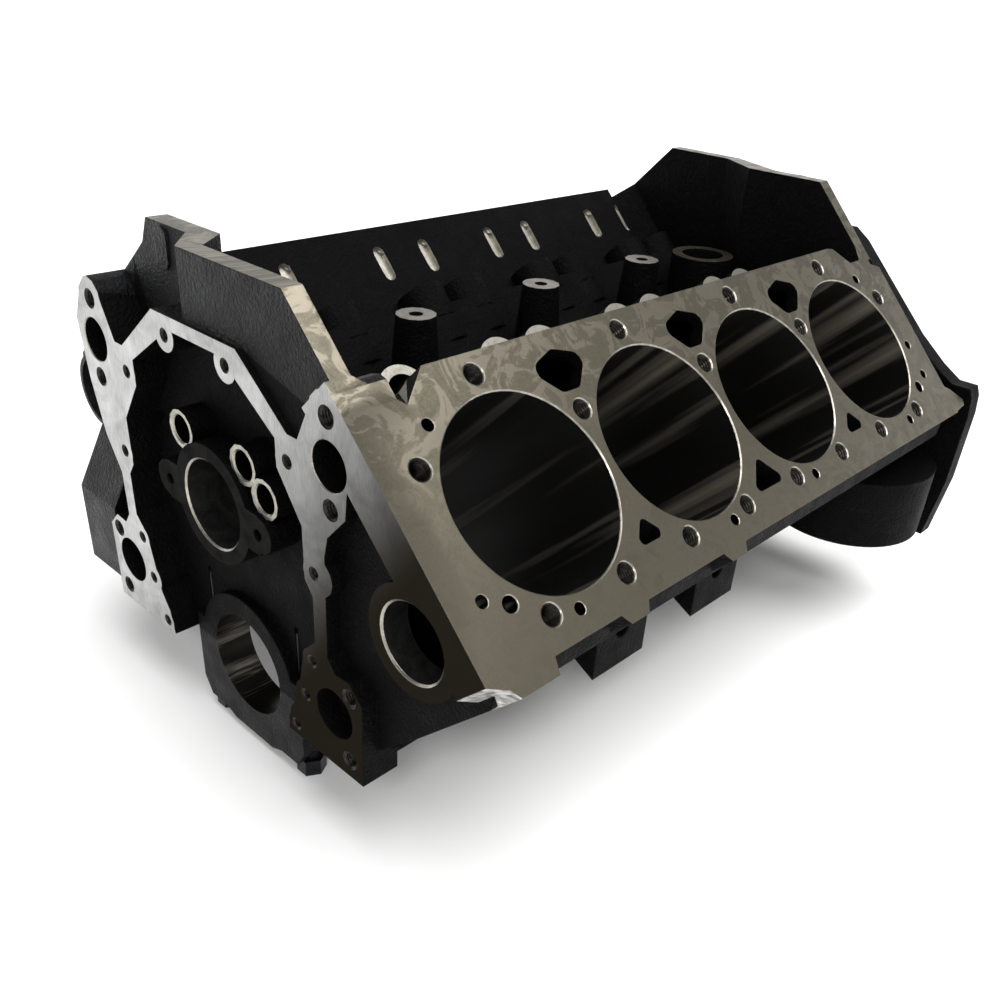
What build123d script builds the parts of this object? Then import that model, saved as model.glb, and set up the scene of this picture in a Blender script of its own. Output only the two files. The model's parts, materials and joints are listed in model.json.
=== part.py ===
"""Bare cylinder block of a ninety-degree overhead-valve V8, with its main bearing caps bolted on.

Frame, in millimetres: the crank axis is the Y axis, +Y runs from the timing face to the bell face,
+Z is up and +X is the left bank, which sits one stagger ahead of the right bank. The origin is the
crank axis at the timing face.

Deck coordinates: y along the crank, u across a deck towards the valley, and n out of the deck from
the crank axis. The right bank is the left bank turned half a turn about the block's middle.

Drilled and tapped holes and the shanks in them have eight sides, small cast bosses twelve and
lifter bores sixteen, because there are so many of them. Every other machined bore is round.
"""

import os
from math import cos, radians

from build123d import *

os.makedirs("parts", exist_ok=True)

drill_sides = 8
cast_sides = 12
lifter_sides = 16

# Cylinders
bore_spacing = 111.76
bore_radius = 52.4
bore_count = 4
first_bore_y = 80.1
bank_stagger = 22.35
bank_angle = 45.0
deck_height = 229.2
barrel_wall = 5.2
barrel_foot = 92.0

# Decks
deck_upper = 74.4
deck_lower = -72.4
deck_band = 24.2
end_recess = 10.0
lower_lug = 6.1
head_bolt_radius = 5.0
head_bolt_depth = 34.0
upper_bolt_u = 63.3
middle_bolt_u = 29.0
lower_bolt_u = -55.4
dowel_hole_radius = 4.1
dowel_hole_u = -42.2
dowel_hole_overhang = 46.5
steam_hole_radius = 3.2

# Water jacket
jacket_wall = 6.5
jacket_bulge = 7.6
jacket_floor = 130.0
jacket_foot = 138.0
deck_thickness = 11.0
column_width = 20.0
core_plug_radius = 20.7
core_plug_boss = 30.0
core_plug_u = -37.2
core_plug_n = 194.2
side_plug_n = 172.0
rear_plug_boss = 24.0
rear_plug_u = -28.7
rear_plug_n = 203.8

# Crankcase
pan_rail_z = -3.2
pan_rail_half = 127.0
pan_rail_width = 21.0
pan_rail_height = 12.0
pan_rail_waist = 118.0
case_wall = 9.0
web_thickness = 22.0
first_web_y = 20.0
first_web_thickness = 20.0
pan_bolt_radius = 3.2
pan_bolt_depth = 14.0
pan_bolt_inset = 15.5
pan_bolt_pitch = 88.0
pan_bolt_count = 6

# Main bearings and caps
main_bore_radius = 33.53
main_seat_front = 13.3
main_seat_radius = 47.0
cap_drop = 50.0
cap_belly = 54.0
cap_thickness = 24.0
rear_cap_thickness = 46.0
register_clearance = 0.05
cap_bolt_x = 44.5
outer_cap_bolt_x = 72.0
cap_bolt_edge = 9.5
cap_bolt_radius = 5.5
cap_bolt_clearance = 0.15
cap_bolt_depth = 48.0
cap_bolt_end_gap = 4.0
bolt_head_across = 15.9
bolt_head_height = 11.0

# Camshaft tunnel and lifters
cam_height = 114.83
cam_bore_radius = 25.7
cam_boss_radius = 35.0
cam_face_y = 0.9
cam_clearance = 31.0
lifter_radius = 10.7
lifter_boss_radius = 16.8
lifter_top = 172.0
lifter_rail_top = 156.0
lifter_outer = 43.3
lifter_inner = 6.3

# Valley
valley_floor = 152.0
valley_roof = 9.0
rail_top = 250.0
post_top = 193.4
post_radius = 12.5
post_foot_radius = 16.0
post_hole_radius = 3.6
post_hole_depth = 18.0
front_wall_y = 3.0
front_wall_thickness = 11.5
far_wall_lead = 1.3
rear_wall_inset = 17.5
rear_wall_thickness = 11.0
distributor_inset = 41.5
distributor_radius = 16.2
distributor_boss = 24.0
distributor_top = 186.0
drain_radius = 8.5
groove_depth = 3.5
groove_spread = 20.3
groove_offsets = (-7.0, -1.4, -7.0, -1.4)

# Timing face
timing_floor = 20.0
rail_peak = 213.5
timing_hole_radius = 2.9
timing_hole_depth = 14.0
pump_bolt_radius = 4.4
pump_bolt_depth = 18.0
pump_port_radius = 12.5
pump_port_depth = 28.0
far_port_depth = 43.5
port_passage_radius = 8.0
pump_boss_radius = 12.7
gallery_radius = 8.0

# Bell face
bell_thickness = 15.2
bell_pocket = 9.0
bell_bolt_radius = 5.0
bell_dowel_radius = 7.9
bell_dowel_length = 27.0
bell_dowel_proud = 13.0
dowel_clearance = 0.05
crank_opening = 62.0
port_boss_radius = 13.0

# Side bosses
mount_face_x = 165.0
mount_pitch = 101.6
mount_first_y = 168.0
mount_width = 49.0
mount_bolt_radius = 5.0
mount_bolt_z = 42.0
filter_x = 158.0
filter_inset = 48.0
filter_radius = 58.0
filter_face_z = 14.0
filter_seat_radius = 47.0
filter_thread_radius = 10.0
pump_pad_x = 167.0
pump_pad_radius = 15.0
starter_bolt_radius = 5.2

slope = cos(radians(bank_angle))
mid_y = first_bore_y + (bore_count - 1) * bore_spacing / 2 + bank_stagger / 2
bank_length = 2 * first_bore_y + (bore_count - 1) * bore_spacing
crankcase_rear = bank_length + bank_stagger
bell_face_y = crankcase_rear + bell_thickness
rear_wall_y = bank_length - rear_wall_inset
front_wall_far_y = bank_stagger - far_wall_lead
bore_ys = [first_bore_y + bore_spacing * k for k in range(bore_count)]
bay_ys = [y + bank_stagger / 2 for y in bore_ys]
web_ys = [y + bore_spacing / 2 for y in bay_ys[:-1]]
jacket_outer = deck_lower - jacket_bulge
lifter_u = cam_height * slope
cap_half_width = cap_bolt_x + cap_bolt_edge
wide_cap_half_width = outer_cap_bolt_x + cap_bolt_edge


def front_plane(y):
    """Sketch plane across the block at y, with x to the left bank and z up."""
    return Plane(origin=(0, y, 0), x_dir=(1, 0, 0), z_dir=(0, -1, 0))


def deck_plane(n):
    """Sketch plane parallel to the left deck at height n, with y along it and u across it."""
    return Plane(origin=(n * slope, 0, n * slope), x_dir=(0, 1, 0), z_dir=(1, 0, 1))


def across(u, n):
    """Turn deck coordinates into x and z on the left bank."""
    return ((n - u) * slope, (n + u) * slope)


def mirrored(points):
    """A closed outline symmetric about x = 0 from its right half."""
    return points + [(-x, z) for x, z in reversed(points)]


def both_sides(points):
    """The same points on the left and on the right of the crank axis."""
    return [(side * x, z) for x, z in points for side in (1, -1)]


def turned(shape):
    """The same shape on the other bank, half a turn about the block's middle."""
    return shape.rotate(Axis((0, mid_y, 0), (0, 0, 1)), 180)


def spots(centres, radius, sides):
    """Circles in the open sketch, or regular polygons where sides are given."""
    with Locations(*centres):
        if sides:
            RegularPolygon(radius, sides)
        else:
            Circle(radius)


def prism(outline, front, back):
    """A straight body along the crank with an outline in x and z."""
    with BuildPart() as body:
        with BuildSketch(front_plane(front)):
            with BuildLine():
                Polyline(*outline, close=True)
            make_face()
        extrude(amount=front - back)
    return body.part


def rounds(centres, radius, front, back, sides=0):
    """Bars along the crank, as bosses or as cutters."""
    with BuildPart() as bars:
        with BuildSketch(front_plane(front)):
            spots(centres, radius, sides)
        extrude(amount=front - back)
    return bars.part


def deck_rounds(centres, radius, top, depth, sides=0):
    """Bars square to the left deck, from height top down by depth."""
    with BuildPart() as bars:
        with BuildSketch(deck_plane(top)):
            spots(centres, radius, sides)
        extrude(amount=-depth)
    return bars.part


def uprights(centres, radius, foot, top, sides=0):
    """Bars standing along z from foot to top."""
    with BuildPart() as bars:
        with BuildSketch(Plane.XY.offset(foot)):
            spots(centres, radius, sides)
        extrude(amount=top - foot)
    return bars.part


def head_bolts():
    """Head bolt centres on one deck: an upper, a middle and a lower row."""
    upper = [(y, upper_bolt_u) for y in bore_ys]
    middle = [(bore_ys[0] - bore_spacing / 2 + bore_spacing * k, middle_bolt_u) for k in range(bore_count + 1)]
    lower = [(y + side * bore_spacing / 4, lower_bolt_u) for y in bore_ys for side in (-1, 1)]
    return upper + middle + lower


def dowel_holes():
    """Head dowel holes at the two ends of one deck."""
    ends = (bore_ys[0] - dowel_hole_overhang, bore_ys[-1] + dowel_hole_overhang)
    return [(y, dowel_hole_u) for y in ends]


def steam_holes():
    """Small coolant and oil holes of one deck."""
    first, last = bore_ys[0], bore_ys[-1]
    ends = [(first - 60, -35.4), (last + 61, -35.4), (first - 40, 47), (last + 40, 47), (last + 61.6, -11.4)]
    shifts = (-10.5, 11.5, -9.2, 12.8)
    return ends + [(y + shift, lower_bolt_u - 4) for y, shift in zip(bore_ys, shifts)]


def lifters():
    """Lifter centres of one bank, two to a cylinder, in deck coordinates."""
    return [(y - shift, lifter_u) for y in bay_ys for shift in (lifter_outer, lifter_inner)]


def deck_outline():
    """Plan of the deck: gasket face, scallops at both ends and lugs along the lower edge."""
    end = bank_length
    lower = [(0, deck_lower + 3.4), (11, deck_lower - 2.6), (15, deck_lower - 8.6)]
    lower += [(40, deck_lower - 8.6), (42.4, deck_lower)]
    for centre in (bore_ys[0] + 22, bore_ys[1]):
        lower += [(centre - 11, deck_lower), (centre - 7, deck_lower - lower_lug)]
        lower += [(centre + 7, deck_lower - lower_lug), (centre + 11, deck_lower)]
    rear = [(end, deck_lower), (end, 50), (end - 22, 59.6), (end - 36, 59.6), (end - 49, 73)]
    front = [(end - 55, deck_upper), (53, deck_upper), (35, 58.5), (14.5, 79), (0, 79)]
    return lower + rear + front


def scallops():
    """Plans of the notches through the valley wall at both ends of one bank."""
    end = bank_length
    reach = deck_upper + 16
    front = [(53, deck_upper), (35, 58.5), (14.5, 79), (14.5, reach), (53, reach)]
    rear = [(end - 55, deck_upper), (end - 49, 73), (end - 36, 59.6), (end - 22, 59.6), (end - 17.5, 70)]
    return front, rear + [(end - 17.5, reach), (end - 55, reach)]


def make_bank():
    """One bank: deck, jacket walls, lifter bosses and the core plug bosses at both ends."""
    wall = [
        across(deck_upper, deck_height),
        across(deck_lower, deck_height),
        across(deck_lower, deck_height - 9),
        across(jacket_outer, deck_height - 18),
        across(jacket_outer, jacket_foot),
        (120, 10),
        (60, 60),
        (36, 130),
        across(deck_upper, 150),
    ]
    plug = across(core_plug_u, core_plug_n)
    rear_plug = across(rear_plug_u, rear_plug_n)
    with BuildPart() as bank:
        add(prism(wall, end_recess, bank_length - end_recess))
        with BuildSketch(deck_plane(deck_height)):
            with BuildLine():
                Polyline(*deck_outline(), close=True)
            make_face()
        extrude(amount=-deck_band)
        add(rounds([plug], core_plug_boss, 0, end_recess))
        add(rounds([rear_plug], rear_plug_boss, bank_length - end_recess, bank_length))
        with BuildSketch(deck_plane(deck_height)):
            for plan in scallops():
                with BuildLine():
                    Polyline(*plan, close=True)
                make_face()
        extrude(amount=lifter_top - deck_height, mode=Mode.SUBTRACT)
        add(deck_rounds(lifters(), lifter_boss_radius, lifter_top, lifter_top - jacket_floor, cast_sides))
    return bank.part


def make_right_bank(bank):
    """The right bank: the left one turned, with its lower front corner cut back to the plug boss."""
    end = bank_length
    corner = [(end + 1.5, deck_lower + 55), (end + 1.5, deck_lower - 16), (end - 17.5, deck_lower - 16)]
    with BuildPart() as wedge:
        with BuildSketch(deck_plane(deck_height)):
            with BuildLine():
                Polyline(*corner, close=True)
            make_face()
        extrude(amount=jacket_foot - deck_height)
        add(rounds([across(rear_plug_u, rear_plug_n)], rear_plug_boss, end - 20, end), mode=Mode.SUBTRACT)
    with BuildPart() as right:
        add(turned(bank))
        add(turned(wedge.part), mode=Mode.SUBTRACT)
    return right.part


def make_jacket():
    """Water space round the four barrels of one bank, as a core with a column left for each bolt."""
    low = jacket_outer + jacket_wall
    high = deck_upper - jacket_wall
    start = end_recess + jacket_wall
    stop = bank_length - start
    taper = 36
    plan = [(start, low), (stop - 8, low), (stop, low + 30)]
    plan += [(stop, high - taper), (stop - taper, high), (start + taper, high)]
    with BuildPart() as jacket:
        with BuildSketch(deck_plane(deck_height - deck_thickness)):
            with BuildLine():
                Polyline(*plan, (start, high - taper), close=True)
            make_face()
            with Locations(*[(y, 0) for y in bore_ys]):
                RegularPolygon(
                    bore_radius + barrel_wall,
                    cast_sides,
                    major_radius=False,
                    rotation=180 / cast_sides,
                    mode=Mode.SUBTRACT,
                )
            with Locations(*head_bolts()):
                Rectangle(column_width, column_width, mode=Mode.SUBTRACT)
        extrude(amount=deck_thickness - deck_height + jacket_floor)
    return jacket.part


def coolant_windows():
    """Coolant openings of one deck: pentagons above and triangles below, between the bores."""
    with BuildPart() as windows:
        with BuildSketch(deck_plane(deck_height)):
            for k, half in enumerate((12.3, 16.7, 12.3)):
                y = bore_ys[k] + bore_spacing / 2
                base = -48.0 if k != 1 else -53.0
                with BuildLine():
                    Polyline((y, -33.6), (y - half, base), (y + half, base), close=True)
                make_face()
                with BuildLine():
                    Polyline(
                        (y, 64.0),
                        (y - 22, 56.5),
                        (y - 6.5, 40.0),
                        (y + 6.5, 40.0),
                        (y + 22, 56.5),
                        close=True,
                    )
                make_face()
        extrude(amount=-deck_thickness - 1)
    return windows.part


def pushrod_grooves():
    """Shallow machined grooves in the valley wall of one bank, one beside each lifter."""
    wall = Plane(origin=(-deck_upper * slope, 0, deck_upper * slope), x_dir=(0, 1, 0), z_dir=(-1, 0, 1))
    with BuildPart() as grooves:
        with BuildSketch(wall):
            for bore_y, offset in zip(bore_ys, groove_offsets):
                for side in (-1, 1):
                    y = bore_y + offset + side * groove_spread
                    with BuildLine():
                        Polyline(
                            (y, -189),
                            (y - 4.5, -195),
                            (y - 4.5, -209),
                            (y, -215),
                            (y + 4.5, -209),
                            (y + 4.5, -195),
                            close=True,
                        )
                    make_face()
        extrude(amount=-groove_depth)
    return grooves.part


def bank_holes():
    """Everything bored from one deck and from the side of one bank."""
    bores = [(y, 0) for y in bore_ys]
    wall = jacket_outer * slope
    plug = across(core_plug_u, core_plug_n)
    rear_plug = across(rear_plug_u, rear_plug_n)
    plugs = [(y + bore_spacing / 2, side_plug_n) for y in bore_ys[:-1]]
    with BuildPart() as holes:
        add(deck_rounds(bores, bore_radius, deck_height, deck_height - barrel_foot + 1))
        add(deck_rounds(head_bolts(), head_bolt_radius, deck_height, head_bolt_depth, drill_sides))
        add(deck_rounds(dowel_holes(), dowel_hole_radius, deck_height, deck_thickness - 1))
        add(deck_rounds(steam_holes(), steam_hole_radius, deck_height, deck_thickness + 1, drill_sides))
        add(deck_rounds(lifters(), lifter_radius, lifter_top, lifter_top - barrel_foot, lifter_sides))
        add(coolant_windows())
        with BuildSketch(Plane(origin=(-wall, 0, wall), x_dir=(0, 1, 0), z_dir=(1, 0, -1))):
            spots(plugs, core_plug_radius, 0)
        extrude(amount=-jacket_wall - 1)
        add(rounds([plug], core_plug_radius, 0, end_recess + jacket_wall + 1))
        add(rounds([rear_plug], core_plug_radius, bank_length - end_recess - jacket_wall - 1, bank_length))
    return holes.part


def make_crankcase():
    """Crankcase, cam tunnel, lifter rails and valley floor, solid, from the timing wall to the rear."""
    side = [
        (pan_rail_half, pan_rail_z),
        (pan_rail_half, pan_rail_height),
        (140, 24),
        across(jacket_outer, jacket_foot),
        (110, 90),
        across(70, lifter_rail_top),
        across(96, lifter_rail_top),
        (17, valley_floor),
    ]
    return prism(mirrored(side), timing_floor, crankcase_rear)


def make_bays():
    """The four crank bays, open below, as cores that leave the webs and the feet of the barrels."""
    inner = pan_rail_half - pan_rail_width
    barrel = bore_radius + barrel_wall
    corner = jacket_floor - case_wall - 3
    side = [
        (inner, pan_rail_z - 1),
        (inner, pan_rail_height),
        (pan_rail_half - case_wall, pan_rail_height + 9),
        across(jacket_outer + case_wall + 4, corner),
        across(-barrel, corner),
        across(-barrel, barrel_foot),
        across(46, barrel_foot),
        (cam_clearance, 112),
        (27, valley_floor - valley_roof - 3),
        (20, valley_floor - valley_roof),
    ]
    starts = [first_web_y + first_web_thickness] + [y + web_thickness / 2 for y in web_ys]
    stops = [y - web_thickness / 2 for y in web_ys] + [web_ys[-1] + bore_spacing - web_thickness / 2]
    with BuildPart() as bays:
        for start, stop in zip(starts, stops):
            add(prism(mirrored(side), start, stop))
    return bays.part


def timing_holes():
    """Tapped holes round the timing cover, left half, from the top to the foot."""
    return [(27.7, 202.3), (74.9, 168.8), (91.75, 114.5), (86.3, 57.6), (79.2, 31.2), (68.5, 3.9)]


def chest_edge():
    """Inner edge of the timing cover rail, left half, from the foot to the top."""
    return [
        (61, pan_rail_z),
        (64, 13),
        (71, 24),
        (80, 62),
        (90, 72),
        (90, 100),
        (84, 108),
        (84, 138),
        (66, 163),
        (66, 178),
        (36, 198),
        (20, 206),
    ]


def make_chest_wall():
    """The wall behind the upper half of the timing chest, under the manifold end rail."""
    edge = [(84, 138), (66, 163), (66, 178), (38, rail_peak)]
    return prism(mirrored(edge), timing_floor, timing_floor + front_wall_thickness)


def make_timing_face():
    """Machined rail round the timing cover, with pump ears and mount feet, on both sides."""
    rail = [
        (0, rail_peak),
        (38, rail_peak),
        (76, 183.5),
        (84, 183.5),
        (94, 203),
        (119, 203),
        (121, 180),
        (118, 155),
        (104, 140),
        (101, 128),
        (100, 68),
        (106, 60),
        (117, 61),
        (127, 51),
        (127, pan_rail_z),
    ]
    rail += chest_edge() + [(0, 206)]
    far_cheek = [(-118, 205), (-127, 186), (-122, 150), (-113, 118), (-100, 96), (-101, 150)]
    far_depth = front_wall_far_y + end_recess
    with BuildPart() as face:
        add(prism(rail, 0, timing_floor + 1))
        add(prism([(-x, z) for x, z in rail], 0, far_depth))
        add(prism(far_cheek, 0, far_depth))
        lobes = (9.0, 9.2, 8.4, 7.8, 8.8, 7.0)
        for point, lobe in zip(timing_holes(), lobes):
            add(rounds(both_sides([point]), lobe, 0, timing_floor, cast_sides))
        add(rounds(both_sides([(95.5, 114.5)]), 11.0, 0, timing_floor, cast_sides))
        add(rounds(both_sides([(106.5, 202.0)]), pump_boss_radius, 0, far_depth, cast_sides))
    return face.part


def galleries():
    """Oil gallery mouths on the timing wall."""
    return both_sides([(29.3, 148.5)]) + [(47, 136)]


def make_cam_front():
    """Cam boss with its retainer ears, the oil gallery bosses and the front main bearing seat."""
    retainer = [(-44, 102.5), (44, 102.5), (44, 126.5), (-44, 126.5)]
    half = cap_half_width
    depth = timing_floor - main_seat_front
    with BuildPart() as front:
        add(rounds([(0, cam_height)], cam_boss_radius, cam_face_y, timing_floor))
        add(prism(retainer, cam_face_y, timing_floor))
        add(rounds(both_sides([(44, cam_height)]), 11.0, cam_face_y, timing_floor, cast_sides))
        add(rounds(galleries(), gallery_radius + 3.5, 4, timing_floor, cast_sides))
        with BuildSketch(front_plane(main_seat_front)):
            Circle(main_seat_radius)
            Rectangle(2 * half, 26)
            with Locations((0, pan_rail_z - half)):
                Rectangle(2 * half, 2 * half, mode=Mode.SUBTRACT)
        extrude(amount=-depth)
    return front.part


def deck_shoulder():
    """Outer end of a manifold end rail that runs down into the deck."""
    return [(deck_height / slope - rail_top, rail_top), across(58, deck_height)]


def end_wall(side, inner_x, front, thickness, shoulder):
    """A manifold end rail on one bank, level at its top, from near the middle out to its shoulder."""
    outline = [(inner_x, rail_top)] + shoulder + [(84, 172), (60, 140), (inner_x, 140)]
    return prism([(side * x, z) for x, z in outline], front, front + thickness)


def make_valley_walls():
    """Manifold end rails: each wall steps back by the stagger from one bank to the other."""
    near, far = front_wall_y, front_wall_far_y
    near_back = near + front_wall_thickness
    far_back = far + rear_wall_thickness + 2
    front_step = [(-12, near), (0, near), (0, near_back), (-6, near_back), (-21, far_back), (-32, far_back), (-32, far)]
    near, far = rear_wall_y, rear_wall_y + bank_stagger
    near_back = near + rear_wall_thickness
    far_back = far + rear_wall_thickness
    rear_step = [(14, near), (30, near), (30, near_back), (-16, far_back), (-34, far_back), (-34, far), (-20, far)]
    steep = [(71.5, rail_top), (78, 236), (90, 226), (104, 214.6), (119, 203)]
    with BuildPart() as walls:
        add(end_wall(1, -6, front_wall_y, front_wall_thickness, deck_shoulder()))
        add(end_wall(-1, 21, front_wall_far_y, rear_wall_thickness + 2, steep))
        add(end_wall(1, 14, rear_wall_y, rear_wall_thickness, deck_shoulder()))
        add(end_wall(-1, 20, rear_wall_y + bank_stagger, rear_wall_thickness, deck_shoulder()))
        for step in (front_step, rear_step):
            with BuildSketch(Plane.XY.offset(140)):
                with BuildLine():
                    Polyline(*step, close=True)
                make_face()
            extrude(amount=rail_top - 140)
    return walls.part


def posts():
    """Centres of the three lifter retainer posts on the valley floor."""
    return [(0, y + 1.5) for y in web_ys]


def make_valley_posts():
    """Three tapered lifter retainer posts and the distributor boss on the valley floor."""
    foot = valley_floor - 2
    with BuildPart() as stand:
        for centre in posts():
            with BuildSketch(Plane.XY.offset(foot)):
                spots([centre], post_foot_radius, cast_sides)
            with BuildSketch(Plane.XY.offset(post_top)):
                spots([centre], post_radius, cast_sides)
            loft()
        add(uprights([(0, bank_length - distributor_inset)], distributor_boss, foot, distributor_top))
    return stand.part


def valley_holes():
    """Distributor bore, post threads and the oil drains between the lifter rails."""
    drains = [(0, y) for y in bay_ys]
    with BuildPart() as holes:
        add(uprights([(0, bank_length - distributor_inset)], distributor_radius, cam_height, distributor_top))
        add(uprights(posts(), post_hole_radius, post_top - post_hole_depth, post_top, drill_sides))
        add(uprights(drains, drain_radius, cam_height, valley_floor, drill_sides))
        add(uprights([(40, crankcase_rear - 17)], timing_hole_radius * 2, 230, 246, drill_sides))
    return holes.part


def bell_bolts():
    """Bell housing bolt centres, left half."""
    return [(196, 14), (197, 101), (64, 203)]


def bell_dowels():
    """Bell housing dowel centres."""
    return both_sides([(194, 58)])


def make_bell():
    """Bell housing flange, the rear wall that carries it and the oil pressure port boss."""
    outline = [(208, pan_rail_z), (214, 46), (214.5, 101), (213, 115), (210, 122), (196, 122)]
    outline += [(181, 131), (159, 148), (140, 166), (98, 206), (86, 214)]
    body = [(14, 37), (150, 37), (150, 60), (112, 100), (84, 172), (78, 205), (14, 205)]
    far_body = [(14, 37), (14, 205)] + [(-x, z) for x, z in reversed(body[1:-1])]
    end = bank_length
    ear = [(end - 8, deck_lower), (end + 14, -70), (end + 16.5, -66), (end + 5, -54), (end - 8, -46)]
    rib = [(end - 8, -68), (crankcase_rear, -66), (crankcase_rear, -58), (end - 8, -50)]
    with BuildPart() as bell:
        add(prism(mirrored(outline), crankcase_rear, bell_face_y))
        add(prism(body, rear_wall_y + 5, crankcase_rear))
        add(prism(far_body, rear_wall_y + bank_stagger + 5, crankcase_rear))
        add(uprights([(40, crankcase_rear - 17)], port_boss_radius, 200, 246, cast_sides))
        for plan, top in ((ear, deck_height), (rib, deck_height - deck_thickness)):
            with BuildSketch(deck_plane(top)):
                with BuildLine():
                    Polyline(*plan, close=True)
                make_face()
            extrude(amount=-deck_band)
    return bell.part


def bell_holes():
    """Pockets, bolt holes and dowel holes of the bell face, and the space for the rear seal."""
    pocket = [(78, 14), (176, 14), (184, 90), (166, 98), (121, 135), (82, 178), (56, 160), (56, 76)]
    floor = bell_face_y - bell_pocket
    with BuildPart() as holes:
        add(prism(pocket, floor, bell_face_y))
        add(prism([(-x, z) for x, z in pocket], floor, bell_face_y))
        add(rounds(both_sides(bell_bolts()), bell_bolt_radius, crankcase_rear, bell_face_y, drill_sides))
        add(rounds(bell_dowels(), bell_dowel_radius + dowel_clearance, dowel_seat(), bell_face_y, drill_sides))
        add(rounds([(0, 0)], crank_opening, crankcase_rear, bell_face_y))
    return holes.part


def dowel_seat():
    """Where the buried end of each bell dowel stands."""
    return bell_face_y + bell_dowel_proud - bell_dowel_length


def make_bell_dowels():
    """The two dowel pins that centre the bell housing."""
    return rounds(bell_dowels(), bell_dowel_radius, dowel_seat(), bell_face_y + bell_dowel_proud, drill_sides)


def mount_ys():
    """Centres of the engine mount bosses along the crank."""
    return (mount_first_y, mount_first_y + mount_pitch)


def make_side_bosses():
    """Engine mount bosses on both sides, the oil filter pad, the fuel pump pad and the starter pad."""
    wedge = [(mount_face_x, 16), (mount_face_x, 66), (134, 66), (130, 34)]
    pump = [(1, 8), (1, 62), (22, 100), (60, 100), (88, 62), (88, 8)]
    starter = [(-174, pan_rail_z), (-120, pan_rail_z), (-120, 34), (-150, 34), (-174, 20)]
    filter_y = crankcase_rear - filter_inset
    with BuildPart() as bosses:
        for y in mount_ys():
            add(prism(wedge, y - mount_width / 2, y + mount_width / 2))
            add(prism([(-x, z) for x, z in wedge], y - mount_width / 2, y + mount_width / 2))
        add(uprights([(filter_x, filter_y)], filter_radius, filter_face_z, filter_face_z + 52))
        with BuildSketch(Plane.YZ.offset(-pump_pad_x)):
            with BuildLine():
                Polyline(*pump, close=True)
            make_face()
        extrude(amount=45)
        add(prism(starter, crankcase_rear - 48, crankcase_rear))
    return bosses.part


def side_holes():
    """Mount bolt holes, oil filter seat, fuel pump opening and starter bolt holes."""
    filter_y = crankcase_rear - filter_inset
    starter = [(-158, crankcase_rear - 12), (-140, crankcase_rear - 36)]
    mounts = [(y, mount_bolt_z) for y in mount_ys()]
    with BuildPart() as holes:
        with BuildSketch(Plane.YZ.offset(mount_face_x)):
            spots(mounts, mount_bolt_radius, drill_sides)
        extrude(amount=-22)
        with BuildSketch(Plane.YZ.offset(-mount_face_x)):
            spots(mounts, mount_bolt_radius, drill_sides)
        extrude(amount=22)
        with BuildSketch(Plane.YZ.offset(-pump_pad_x)):
            spots([(44, 50)], pump_pad_radius, 0)
            spots([(20, 36), (68, 36)], timing_hole_radius + 1, drill_sides)
        extrude(amount=30)
        add(uprights([(filter_x, filter_y)], filter_seat_radius, filter_face_z, filter_face_z + 4))
        add(uprights([(filter_x, filter_y)], filter_thread_radius, filter_face_z, filter_face_z + 40))
        add(uprights([(filter_x - 26, filter_y)], filter_thread_radius - 3, filter_face_z, filter_face_z + 40, drill_sides))
        add(uprights(starter, starter_bolt_radius, pan_rail_z, pan_rail_z + 30, drill_sides))
    return holes.part


def front_holes():
    """Holes of the timing face: cover, pump, mount, gallery and retainer holes."""
    pump_bolts = [(106.5, 202.0), (107.3, 156.1)]
    feet = [(117, 51), (116.1, 8.2)]
    with BuildPart() as holes:
        add(rounds(both_sides(timing_holes()), timing_hole_radius, 0, timing_hole_depth, drill_sides))
        add(rounds(both_sides(pump_bolts + feet), pump_bolt_radius, 0, pump_bolt_depth, drill_sides))
        for x, depth in ((107.1, pump_port_depth), (-107.1, far_port_depth)):
            add(rounds([(x, 178.3)], pump_port_radius, 0, depth))
            add(rounds([(x, 178.3)], port_passage_radius, depth - 1, depth + jacket_wall + end_recess, cast_sides))
        add(rounds(both_sides([(104, 33)]), 15.0, 0, timing_floor - 6))
        add(rounds(both_sides([(42.7, 114.5)]), timing_hole_radius, cam_face_y, timing_hole_depth, drill_sides))
        add(rounds(galleries(), gallery_radius, 4, 26))
    return holes.part


def cap_spans():
    """Front and rear of each main bearing cap along the crank."""
    spans = [(main_seat_front, main_seat_front + cap_thickness)]
    spans += [(y - cap_thickness / 2, y + cap_thickness / 2) for y in web_ys]
    return spans + [(crankcase_rear - rear_cap_thickness, crankcase_rear)]


def cap_half(k):
    """Half the width of a cap: four bolts on the middle ones, two on the end ones."""
    return wide_cap_half_width if 0 < k < bore_count else cap_half_width


def cap_bolts(k):
    """Centres of one cap's bolts."""
    front, back = cap_spans()[k]
    xs = [-cap_bolt_x, cap_bolt_x]
    if 0 < k < bore_count:
        xs += [-outer_cap_bolt_x, outer_cap_bolt_x]
    return [(x, (front + back) / 2) for x in xs]


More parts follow.
